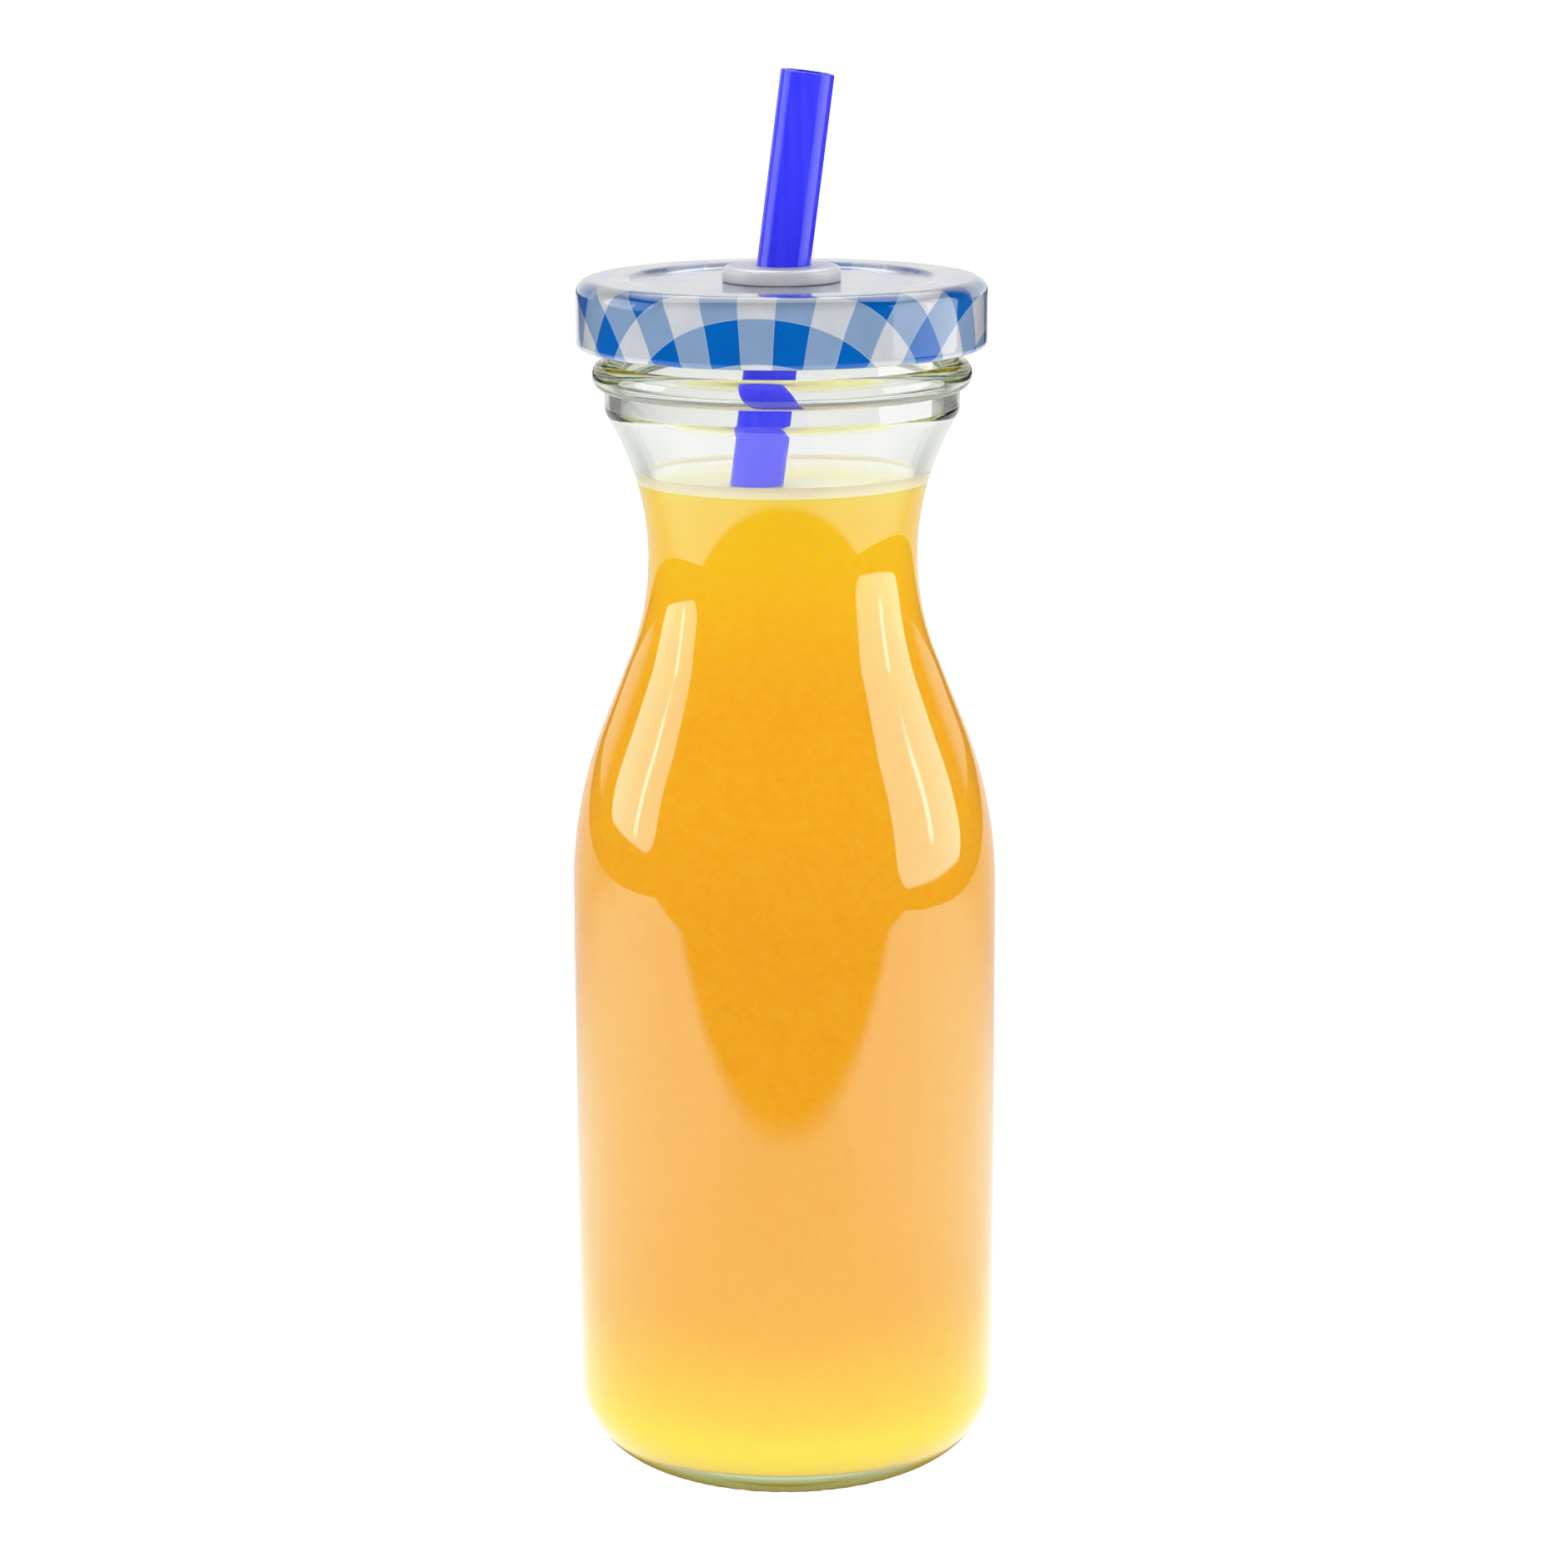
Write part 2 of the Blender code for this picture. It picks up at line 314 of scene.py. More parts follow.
def glass_profile():
    """Up the inside, over the rim and down the outside, from axis to axis."""
    waist_top = corner_angle()
    inner_rim = arc((NECK_RADIUS - WALL + RIM_ARC, RIM_Z - RIM_ARC), RIM_ARC, math.pi / 2, math.pi, 6)
    inside = inner_rim + corner(WALL) + wall_below_neck(WALL, waist_top)[1:] + inner_floor(0)
    rim = arc((NECK_RADIUS - RIM_ARC, RIM_Z - RIM_ARC), RIM_ARC, math.pi / 2, 0, 6)
    bead_centre = (BEAD_REACH - BEAD_ARC, BEAD_Z)
    bead_edge = math.acos((NECK_RADIUS - bead_centre[0]) / BEAD_ARC)
    bead = arc(bead_centre, BEAD_ARC, bead_edge, -bead_edge, 2 * ROUND_STEPS)
    heel_centre = (BODY_RADIUS - HEEL_ARC, HEEL_ARC)
    heel = arc(heel_centre, HEEL_ARC, 0, -math.pi / 2, 2 * ROUND_STEPS)
    foot = [(FOOT_INNER_RADIUS, 0), (PUSH_UP_EDGE_RADIUS, PUSH_UP_EDGE_Z)]
    foot += [(PUSH_UP_RADIUS, PUSH_UP_Z), (0, PUSH_UP_Z)]
    outside = rim + bead + corner(0) + wall_below_neck(0, waist_top)[1:] + heel + foot
    return list(reversed(inside)) + outside


glass_mesh = turned_mesh("bottle_glass", glass_profile(), sides=GLASS_SIDES, lift=foot_notches)[0]
glass = add_piece("bottle_glass", glass_mesh)
glass.data.set_sharp_from_angle(angle=math.radians(50))
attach(glass, "root")
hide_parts("bottle")
report_piece(glass)

# %% [markdown]
# The juice is a body of its own, and the glass is clear, so what matters is where the two meet. If a
# sliver of air were left between them, it would show as a silver mirror. The juice therefore reaches
# a hair into the glass wall, and the eye sees glass, then juice, with nothing between. Its surface
# climbs a little at the glass, as every drink does, and where it climbed it leaves a thin film on the
# wall. So the section has three stretches, each with its own material later: the open surface, the
# film, and the body against the glass.

# %% The juice
INTO_THE_WALL = 0.00012
JUICE_LEVEL_Z = juice_high.z
WALL_MENISCUS_WIDTH = 0.0034
WALL_MENISCUS_RISE = 0.0020
MENISCUS_FALL = 4.0
SURFACE_STEPS = 32
STEPS_CROWD_AT_WALL = 1.6
FILM_REACH = 0.0006
FILM_START = 0.0003
FILM_STEPS = 6
AGAINST_GLASS, OPEN_SURFACE, FILM = range(3)


def meniscus(distance):
    """How far the drink climbs, at a distance from the wall that it touches."""
    return WALL_MENISCUS_RISE * math.exp(-MENISCUS_FALL * distance / WALL_MENISCUS_WIDTH)


def juice_profile():
    """The section of the drink, and on which bands its open surface and its thin film end."""
    inset = WALL - INTO_THE_WALL
    reach = WAIST_ARC + inset
    film_top = math.asin((JUICE_LEVEL_Z + WALL_MENISCUS_RISE - WAIST_Z) / reach)
    film_foot = math.asin((JUICE_LEVEL_Z + FILM_START - WAIST_Z) / reach)
    waist_centre = (WAIST_RADIUS + WAIST_ARC, WAIST_Z)
    film = arc(waist_centre, reach, math.pi - film_top, math.pi - film_foot, FILM_STEPS)
    edge = film[0][0]
    surface = [(0, JUICE_LEVEL_Z)]
    for step in range(1, SURFACE_STEPS):
        r = edge * (1 - (1 - step / SURFACE_STEPS) ** STEPS_CROWD_AT_WALL)
        surface.append((r, JUICE_LEVEL_Z + meniscus(edge - r)))
    flat_end = sum(1 for r, z in surface if r < edge - FILM_REACH)
    film_end = len(surface) + FILM_STEPS
    body = wall_below_neck(inset, film_foot)[1:] + inner_floor(-INTO_THE_WALL)
    return surface + film + body, flat_end, film_end


def make_juice():
    profile, flat_end, film_end = juice_profile()
    mesh, bands = turned_mesh("orange_juice", profile)
    for polygon, band in zip(mesh.polygons, bands):
        polygon.material_index = AGAINST_GLASS
        if band < flat_end:
            polygon.material_index = OPEN_SURFACE
        elif band < film_end:
            polygon.material_index = FILM
    return add_piece("orange_juice", mesh)


juice = make_juice()
report_piece(juice)

# %% [markdown]
# The straw is a stiff extruded tube, open at both ends, with its sharp cut edges just broken. It
# leans, so it is turned about Z like everything else and then laid along its own axis, which passes
# through the middle of the lid's hole.

# %% The straw
STRAW_RADIUS = 0.0037
STRAW_WALL = 0.0007
STRAW_LENGTH = 0.1900
STRAW_ABOVE_PANEL = 0.0287
STRAW_LEAN = math.radians(7.4)
STRAW_EDGE_ARC = 0.00015
STRAW_SIDES = 96
LID_PANEL_Z = 0.1692


def rounded_ring(inner, outer, low, high, edge, steps=3):
    """The closed section of a ring or tube whose four edges are rounded."""
    quarter = math.pi / 2
    points = arc((inner + edge, high - edge), edge, 2 * quarter, quarter, steps)
    points += arc((outer - edge, high - edge), edge, quarter, 0, steps)
    points += arc((outer - edge, low + edge), edge, 0, -quarter, steps)
    points += arc((inner + edge, low + edge), edge, -quarter, -2 * quarter, steps)
    return points


def along_straw(mesh):
    """Lays a mesh that was turned about Z along the straw's axis, through the lid's hole."""
    lean = mathutils.Matrix.Rotation(STRAW_LEAN, 4, "Y")
    mesh.transform(mathutils.Matrix.Translation((0, 0, LID_PANEL_Z)) @ lean)
    return mesh


straw_bottom = STRAW_ABOVE_PANEL - STRAW_LENGTH
straw_section = rounded_ring(
    STRAW_RADIUS - STRAW_WALL, STRAW_RADIUS, straw_bottom, STRAW_ABOVE_PANEL, STRAW_EDGE_ARC
)
straw_mesh = turned_mesh("blue_straw_tube", straw_section, sides=STRAW_SIDES, closed=True)[0]
straw = add_piece("blue_straw_tube", along_straw(straw_mesh))
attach(straw, "root")
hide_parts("straw")
report_piece(straw)

# %% [markdown]
# Now the straw's wall is taken out of the juice, so that juice also stands inside the straw. A
# Boolean does it, the usual tool where two round shapes meet at a slant. The cutter is a little
# thinner than the wall, so here too the juice reaches into the piece it touches.

# %% Cut the juice round the straw
CUT_MARGIN = 0.00012


def cut(piece, cutter_mesh):
    """Takes the cutter's shape out of the piece for good, and drops the cutter."""
    cutter = add_piece("cutter", cutter_mesh)
    difference = piece.modifiers.new("cut", "BOOLEAN")
    difference.operation = "DIFFERENCE"
    difference.object = cutter
    graph = bpy.context.evaluated_depsgraph_get()
    finished = bpy.data.meshes.new_from_object(piece.evaluated_get(graph))
    piece.modifiers.clear()
    piece.data = finished
    bpy.data.objects.remove(cutter)


sleeve_section = rounded_ring(
    STRAW_RADIUS - STRAW_WALL + CUT_MARGIN,
    STRAW_RADIUS - CUT_MARGIN,
    straw_bottom + CUT_MARGIN,
    0,
    STRAW_EDGE_ARC,
)
# Faces keep their material numbers through the cut only where the slots are there
for part_of_juice in ("juice against glass", "open juice", "film of juice"):
    juice.data.materials.append(bpy.data.materials.new(part_of_juice))
cut(juice, along_straw(turned_mesh("sleeve", sleeve_section, sides=STRAW_SIDES, closed=True)[0]))
juice.data.set_sharp_from_angle(angle=math.radians(40))
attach(juice, "root")
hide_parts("juice")
report_piece(juice)

# %% [markdown]
# The lid is drawn from a flat printed sheet. A press pushes the sheet's rim down over a ring, so the
# print that was flat on the blank wraps round the edge and its checks stretch into curves. To get the
# same curves the print isn't projected on the finished lid: each ring of the mesh remembers how far
# from the centre it lay on the flat blank. A drawn wall keeps the sheet's area, and so a ring at
# depth h below the edge lay at sqrt(R*R + 2*R*h).

# %% Sizes of the lid
LID_RADIUS = (lid_high.x - lid_low.x) / 2
LID_TOP_Z = lid_high.z
LID_SHEET = 0.0005
LID_EDGE_ARC = 0.0020
LID_RING_INNER_RADIUS = 0.0214
LID_STEP_WIDTH = 0.0009
LID_CURL_ARC = 0.0010
LID_CURL_Z = 0.1612
LID_CURL_CENTRE = (LID_RADIUS - LID_CURL_ARC, LID_CURL_Z)
LID_HOLE_RADIUS = 0.0056

print("the lid is %.1f mm across and its top is at %.1f mm" % (LID_RADIUS * 2000, LID_TOP_Z * 1000))

# %% Faces of the sheet
def soft_step(low, high, steps):
    """A smooth rise between two (r, z) points, level at both ends."""
    points = []
    for step in range(steps + 1):
        share = step / steps
        eased = share * share * (3 - 2 * share)
        points.append((low[0] + (high[0] - low[0]) * share, low[1] + (high[1] - low[1]) * eased))
    return points


def lid_face(inset):
    """One face of the sheet, from the hole out to the top of the wall."""
    step_start = (LID_RING_INNER_RADIUS - LID_STEP_WIDTH, LID_PANEL_Z - inset)
    step = soft_step(step_start, (LID_RING_INNER_RADIUS, LID_TOP_Z - inset), 8)
    edge_centre = (LID_RADIUS - LID_EDGE_ARC, LID_TOP_Z - LID_EDGE_ARC)
    edge = arc(edge_centre, LID_EDGE_ARC - inset, math.pi / 2, 0, ROUND_STEPS)
    hole = (LID_HOLE_RADIUS, LID_PANEL_Z - inset)
    return [hole] + straight(hole, step[0], 8) + step + straight(step[-1], edge[0], 4) + edge


def lid_outer_face():
    """The printed face: top, wall and the rolled edge as far as the print shows."""
    top = lid_face(0)
    roll = arc(LID_CURL_CENTRE, LID_CURL_ARC, 0, -math.pi, 2 * ROUND_STEPS)
    return top + straight(top[-1], roll[0], 8) + roll


def lid_inner_face():
    """The lacquered face, from the inner side of the roll up the wall and back to the hole."""
    end = math.acos((LID_CURL_ARC - LID_SHEET) / LID_CURL_ARC) - 2 * math.pi
    roll = arc(LID_CURL_CENTRE, LID_CURL_ARC, -math.pi, end, ROUND_STEPS)
    return roll[1:] + list(reversed(lid_face(LID_SHEET)))


def blank_radii(profile):
    """How far from the centre each ring of the drawn lid lay on the flat sheet."""
    radii = [profile[0][0]]
    for (r0, z0), (r1, z1) in zip(profile, profile[1:]):
        band_area = (r0 + r1) * math.hypot(r1 - r0, z1 - z0)
        radii.append(math.sqrt(radii[-1] ** 2 + band_area))
    return radii


print("the lid's blank was %.1f mm across" % (2000 * blank_radii(lid_outer_face())[-1]))

# %% [markdown]
# The flat places go into a UV map, which is a mesh's own table of places on a flat picture. Usually
# such a map is unwrapped from the finished form. Here it is filled ring by ring from the radii on
# the blank, with the sheet turned by a few degrees, as a lid happens to stand in a picture.

# %% The lid
BLANK_MAP = "blank"
BLANK_TURN = math.radians(6.8)
PRINTED, LACQUERED = range(2)


def on_blank(radius, angle):
    """Where a point of the lid lay on the flat sheet, seen with the cloth's stripes upright."""
    x = radius * math.cos(angle)
    y = radius * math.sin(angle)
    across = x * math.cos(BLANK_TURN) - y * math.sin(BLANK_TURN)
    toward_viewer = -y * math.cos(BLANK_TURN) - x * math.sin(BLANK_TURN)
    return across, toward_viewer


def make_lid():
    outer = lid_outer_face()
    profile = outer + lid_inner_face()
    mesh, bands = turned_mesh("gingham_lid", profile, closed=True)
    radii = blank_radii(outer)
    radii += [radii[-1]] * (len(profile) - len(outer))
    layer = mesh.uv_layers.new(name=BLANK_MAP)
    for polygon, band in zip(mesh.polygons, bands):
        polygon.material_index = PRINTED if band < len(outer) - 1 else LACQUERED
        for loop in polygon.loop_indices:
            vertex = mesh.loops[loop].vertex_index
            radius = radii[vertex // FINE_SIDES]
            angle = 2 * math.pi * (vertex % FINE_SIDES) / FINE_SIDES
            layer.data[loop].uv = on_blank(radius, angle)
    return add_piece("gingham_lid", mesh)


lid = make_lid()
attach(lid, "root")
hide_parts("lid")
report_piece(lid)

# %% [markdown]
# The grommet is a soft ring with a groove, and it looks a little pressed down. Its flange lies flat
# on the lid, so it is turned upright, not about the straw, and then bored along the straw. That
# leaves the hole's mouth off centre by a hair, as when a soft ring gives way to a stiff tube.

# %% The grommet
FLANGE_RADIUS = (grommet_high.x - grommet_low.x) / 2
PRESSED_DOWN = 0.0003
FLANGE_TOP_Z = grommet_high.z - PRESSED_DOWN
FLANGE_ARC = 0.0009
LOWER_ARC = FLANGE_ARC / 5
FLANGE_BOTTOM_Z = LID_PANEL_Z + 0.00005
GROOVE_RADIUS = LID_HOLE_RADIUS - 0.0001
LOWER_FLANGE_RADIUS = 0.0070
LOWER_FLANGE_TOP_Z = LID_PANEL_Z - LID_SHEET - 0.0002
GROMMET_LOW_Z = grommet_low.z
GROMMET_SIDES = 128
BORE_RADIUS = STRAW_RADIUS + 0.00005
BORE_REACH = 0.012


def grommet_profile():
    points = [(0, FLANGE_TOP_Z)]
    top_centre = (FLANGE_RADIUS - FLANGE_ARC, FLANGE_TOP_Z - FLANGE_ARC)
    points += arc(top_centre, FLANGE_ARC, math.pi / 2, 0, ROUND_STEPS)
    foot_centre = (FLANGE_RADIUS - LOWER_ARC, FLANGE_BOTTOM_Z + LOWER_ARC)
    points += arc(foot_centre, LOWER_ARC, 0, -math.pi / 2, ROUND_STEPS)
    points += [(GROOVE_RADIUS, FLANGE_BOTTOM_Z), (GROOVE_RADIUS, LOWER_FLANGE_TOP_Z)]
    lower_centre = (LOWER_FLANGE_RADIUS - LOWER_ARC, LOWER_FLANGE_TOP_Z - LOWER_ARC)
    points += arc(lower_centre, LOWER_ARC, math.pi / 2, 0, 4)
    points += [(GROOVE_RADIUS, GROMMET_LOW_Z), (0, GROMMET_LOW_Z)]
    return points


grommet = add_piece("pale_grommet_ring", turned_mesh("ring", grommet_profile(), sides=GROMMET_SIDES)[0])
bore_section = [(0, BORE_REACH), (BORE_RADIUS, BORE_REACH), (BORE_RADIUS, -BORE_REACH), (0, -BORE_REACH)]
cut(grommet, along_straw(turned_mesh("bore", bore_section, sides=STRAW_SIDES)[0]))
grommet.data.set_sharp_from_angle(angle=math.radians(40))
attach(grommet, "root")
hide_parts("grommet")
report_piece(grommet)

# %% [markdown]
# Now the finishes. A finish is a net of small nodes, and written out in full it hides what it does.
# So the steps that most finishes need get a short function each: a value or a link for a socket, a
# sum, a mix of two colours, a soft rise from 0 to 1. An effect that several finishes share becomes a
# node group, which is built once and then placed in each material with that material's own values.

# %% Helpers for nodes
def set_values(node, **values):
    """Sets plain values on a node's inputs; an underscore in a name stands for a space."""
    for name, value in values.items():
        node.inputs[name.replace("_", " ")].default_value = value


def feed(tree, socket, value):
    """Gives a socket a plain value, or links another node's output to it."""
    if isinstance(value, bpy.types.NodeSocket):
        tree.links.new(value, socket)
    else:
        socket.default_value = value


def math_node(tree, operation, *values):
    node = tree.nodes.new("ShaderNodeMath")
    node.operation = operation
    for socket, value in zip(node.inputs, values):
        feed(tree, socket, value)
    return node.outputs[0]


operations = bpy.types.ShaderNodeMath.bl_rna.properties["operation"].enum_items
print("a math node knows", len(operations), "operations")

# %% [markdown]
# Nothing that has been blown, pressed, printed or squeezed is quite even. A group of its own makes
# soft random patches of a given size, as a number between a low and a high value. It serves as the
# waviness of the glass, the bits in the juice, the uneven gloss of the print and the drawn streaks of
# the straw. Painted maps would do it too, but noise made in the material has no seams and no end.

# %% A group for fine unevenness
# Noise keeps mostly to this range, which is spread over the asked low and high value
NOISE_LOW = 0.3
NOISE_HIGH = 0.7


def new_group(name, inputs, outputs):
    """An empty node group; inputs maps a name to its kind, and every output is a number."""
    group = bpy.data.node_groups.new(name, "ShaderNodeTree")
    for socket, kind in inputs.items():
        group.interface.new_socket(socket, in_out="INPUT", socket_type="NodeSocket" + kind)
    for socket in outputs:
        group.interface.new_socket(socket, in_out="OUTPUT", socket_type="NodeSocketFloat")
    return group, group.nodes.new("NodeGroupInput").outputs, group.nodes.new("NodeGroupOutput").inputs


def place_group(tree, group, **values):
    node = tree.nodes.new("ShaderNodeGroup")
    node.node_tree = group
    for name, value in values.items():
        feed(tree, node.inputs[name], value)
    return node.outputs


def make_unevenness_group():
    kinds = {"Place": "Vector", "Size": "Float", "Low": "Float", "High": "Float"}
    group, taken, given = new_group("fine unevenness", kinds, ["Value"])
    noise = group.nodes.new("ShaderNodeTexNoise")
    group.links.new(taken["Place"], noise.inputs["Vector"])
    group.links.new(math_node(group, "DIVIDE", 1.0, taken["Size"]), noise.inputs["Scale"])
    set_values(noise, Detail=2.0, Roughness=0.5)
    spread = group.nodes.new("ShaderNodeMapRange")
    group.links.new(noise.outputs["Fac"], spread.inputs["Value"])
    set_values(spread, From_Min=NOISE_LOW, From_Max=NOISE_HIGH)
    group.links.new(taken["Low"], spread.inputs["To Min"])
    group.links.new(taken["High"], spread.inputs["To Max"])
    group.links.new(spread.outputs["Result"], given["Value"])
    return group


unevenness = make_unevenness_group()
print(unevenness.name, "takes", [socket.name for socket in unevenness.interface.items_tree][1:])

# %% [markdown]
# Clear glass bends light by an index of 1.5 and takes out a trace of red and blue, which only shows
# where the eye looks along the wall or through the thick foot. That trace is a volume, not a colour
# of the surface: a coloured surface would tint thin and thick glass alike.

# %% Glass
GLASS_TRACE = (0.66, 0.80, 0.56, 1)
GLASS_TRACE_DENSITY = 42.0
GLASS_WAVE_SIZE = 0.016
GLASS_WAVE_DEPTH = 0.000008


def new_material(name):
    """A material with its Principled shader, ready to be set."""
    material = bpy.data.materials.new(name)
    material.use_nodes = True
    return material, material.node_tree, material.node_tree.nodes["Principled BSDF"]


def place_on_object(tree):
    """The point's own place in metres, which stays with the object wherever it is moved."""
    return tree.nodes.new("ShaderNodeTexCoord").outputs["Object"]


def uneven(tree, size, low, high, place=None):
    place = place or place_on_object(tree)
    return place_group(tree, unevenness, Place=place, Size=size, Low=low, High=high)["Value"]


def add_relief(tree, shader, height):
    """Turns a height in metres into a bump."""
    bump = tree.nodes.new("ShaderNodeBump")
    set_values(bump, Strength=1.0, Distance=1.0)
    tree.links.new(height, bump.inputs["Height"])
    tree.links.new(bump.outputs["Normal"], shader.inputs["Normal"])


def dress(piece, *materials):
    """Gives a piece its materials, in the order of its faces' material numbers."""
    slots = piece.data.materials
    for number, material in enumerate(materials):
        if number < len(slots):
            slots[number] = material
        else:
            slots.append(material)
    print(piece.name, "wears", [material.name for material in slots])


def make_glass_material():
    material, tree, shader = new_material("clear soda glass")
    set_values(shader, Base_Color=(1, 1, 1, 1), Roughness=0.0, IOR=1.5, Transmission_Weight=1.0)
    absorption = tree.nodes.new("ShaderNodeVolumeAbsorption")
    set_values(absorption, Color=GLASS_TRACE, Density=GLASS_TRACE_DENSITY)
    tree.links.new(absorption.outputs["Volume"], tree.nodes["Material Output"].inputs["Volume"])
    add_relief(tree, shader, uneven(tree, GLASS_WAVE_SIZE, 0.0, GLASS_WAVE_DEPTH))
    return material


dress(glass, make_glass_material())

# %% [markdown]
# Orange juice is water full of tiny bits of fruit. Light goes in, wanders, and comes out a little
# further on, more orange the longer it stayed. That is subsurface scattering: red travels furthest.
# A cloudy volume would show it more truly, but it renders slowly and stays noisy. In the photo the
# drink is deep orange in the middle and yellower in the narrow neck and at the heel, where it holds
# less and more light comes through. That light is painted into its colour, which follows its height.
# The open surface and the film are painted paler too, as lighter copies of the drink for their light.

# %% Colours of the juice, and how they are mixed
JUICE_ORANGE = (0.79, 0.388, 0.009, 1)
JUICE_PAINTED_LIGHT_YELLOW = (0.99, 0.585, 0.012, 1)
# The open surface and the film are paler copies of the drink: painted light for the light on these layers
JUICE_SURFACE_PAINTED_LIGHT = (0.99, 0.87, 0.50, 1)
JUICE_FILM_PAINTED_LIGHT = (0.99, 0.80, 0.47, 1)
JUICE_BITS = (0.99, 0.70, 0.10, 1)
BITS_SIZE = 0.0011
BITS_SHARE = 0.12
# The yellow toward the foot and the neck is painted light, for the light from the table and through the
# neck
PAINTED_LIGHT_FOOT_Z = 0.004
ORANGE_LOW_Z = 0.032
ORANGE_HIGH_Z = 0.110
PAINTED_LIGHT_NECK_Z = 0.142
FOOT_PAINTED_LIGHT_SHARE = 0.97


def mix_colour(tree, share, first, second):
    node = tree.nodes.new("ShaderNodeMix")
    node.data_type = "RGBA"
    node.clamp_factor = True
    feed(tree, node.inputs["Factor"], share)
    feed(tree, node.inputs["A"], first)
    feed(tree, node.inputs["B"], second)
    return node.outputs["Result"]


def ramp(tree, value, start, end):
    """0 below start, 1 above end and a soft rise between them."""
    node = tree.nodes.new("ShaderNodeMapRange")
    node.interpolation_type = "SMOOTHSTEP"
    feed(tree, node.inputs["Value"], value)
    set_values(node, From_Min=start, From_Max=end)
    return node.outputs["Result"]


def split_vector(tree, vector):
    node = tree.nodes.new("ShaderNodeSeparateXYZ")
    tree.links.new(vector, node.inputs["Vector"])
    return node.outputs


print("plain orange from %.0f to %.0f mm" % (ORANGE_LOW_Z * 1000, ORANGE_HIGH_Z * 1000))

# %% Juice
CLOUD_REACH = 0.004
OPEN_CLOUD_REACH = 0.030


def set_cloudy(shader, reach):
    """Light wanders this far inside, and red further than blue."""
    set_values(shader, IOR=1.34, Subsurface_Weight=1.0, Subsurface_Scale=reach)
    shader.inputs["Subsurface Radius"].default_value = (1.0, 0.9, 0.5)


def add_bits(tree, shader, drink):
    """Colours the drink, with its bits of fruit a little paler."""
    bits = uneven(tree, BITS_SIZE, 0.0, BITS_SHARE)
    tree.links.new(mix_colour(tree, bits, drink, JUICE_BITS), shader.inputs["Base Color"])


def make_juice_material():
    material, tree, shader = new_material("cloudy orange juice")
    # Painted light: the colour turns from orange to yellow toward the foot and the neck, where more light
    # comes through
    height = split_vector(tree, place_on_object(tree))["Z"]
    foot = math_node(tree, "SUBTRACT", 1.0, ramp(tree, height, PAINTED_LIGHT_FOOT_Z, ORANGE_LOW_Z))
    foot = math_node(tree, "MULTIPLY", foot, FOOT_PAINTED_LIGHT_SHARE)
    neck = ramp(tree, height, ORANGE_HIGH_Z, PAINTED_LIGHT_NECK_Z)
    share = math_node(tree, "MAXIMUM", foot, neck)
    add_bits(tree, shader, mix_colour(tree, share, JUICE_ORANGE, JUICE_PAINTED_LIGHT_YELLOW))
    set_cloudy(shader, CLOUD_REACH)
    set_values(shader, Roughness=0.08, Specular_IOR_Level=0.15)
    return material


def make_painted_light_layer(name, colour, reach, **values):
    """A thin layer of the same drink, painted paler for the light that reaches it."""
    material, tree, shader = new_material(name)
    add_bits(tree, shader, colour)
    set_cloudy(shader, reach)
    set_values(shader, **values)
    return material


open_gloss = {"Roughness": 0.03, "Specular_IOR_Level": 0.2}
film_gloss = {"Roughness": 0.08, "Subsurface_Weight": 0.5}
open_layer = make_painted_light_layer("open surface of the juice", JUICE_SURFACE_PAINTED_LIGHT, OPEN_CLOUD_REACH, **open_gloss)
film_layer = make_painted_light_layer("thin film of juice on the glass", JUICE_FILM_PAINTED_LIGHT, CLOUD_REACH, **film_gloss)
dress(juice, make_juice_material(), open_layer, film_layer)

# %% [markdown]
# The straw is extruded from dyed plastic, which leaves faint streaks along it. The same soft patches
# serve again, seen in a space that is turned with the straw and squeezed along it, so that each
# patch becomes a streak. A little light enters the wall, which keeps its shaded side blue.

# %% Straw
STRAW_BLUE = (0.036, 0.035, 0.99, 1)
STRAW_STREAK = (0.048, 0.050, 0.99, 1)
STREAK_WIDTH = 0.0009
STREAK_STRETCH = 0.02
STRAW_GLOSS = (0.12, 0.20)


def make_straw_material():
    material, tree, shader = new_material("blue straw plastic")
    along = tree.nodes.new("ShaderNodeMapping")
    tree.links.new(place_on_object(tree), along.inputs["Vector"])
    set_values(along, Rotation=(0, -STRAW_LEAN, 0), Scale=(1, 1, STREAK_STRETCH))
    streaks = uneven(tree, STREAK_WIDTH, 0.0, 1.0, along.outputs["Vector"])
    tree.links.new(mix_colour(tree, streaks, STRAW_BLUE, STRAW_STREAK), shader.inputs["Base Color"])
    gloss = uneven(tree, STREAK_WIDTH, *STRAW_GLOSS, along.outputs["Vector"])
    tree.links.new(gloss, shader.inputs["Roughness"])
    set_values(shader, IOR=1.46, Specular_IOR_Level=0.2)
    set_values(shader, Subsurface_Weight=0.4, Subsurface_Scale=0.0001)
    shader.inputs["Subsurface Radius"].default_value = (0.1, 0.1, 1.0)
    return material


dress(straw, make_straw_material())

# %% [markdown]
# The grommet is soft pale rubber, a little chalky. Its patches of dust change the colour, the gloss
# and the relief together; a plain white would look like hard plastic.

# %% Grommet
GROMMET_WHITE = (0.74, 0.74, 0.76, 1)
GROMMET_DUSTY = (0.69, 0.69, 0.70, 1)
CHALK_SIZE = 0.0006
CHALK_DEPTH = 0.000004
CHALK_GLOSS = (0.32, 0.46)


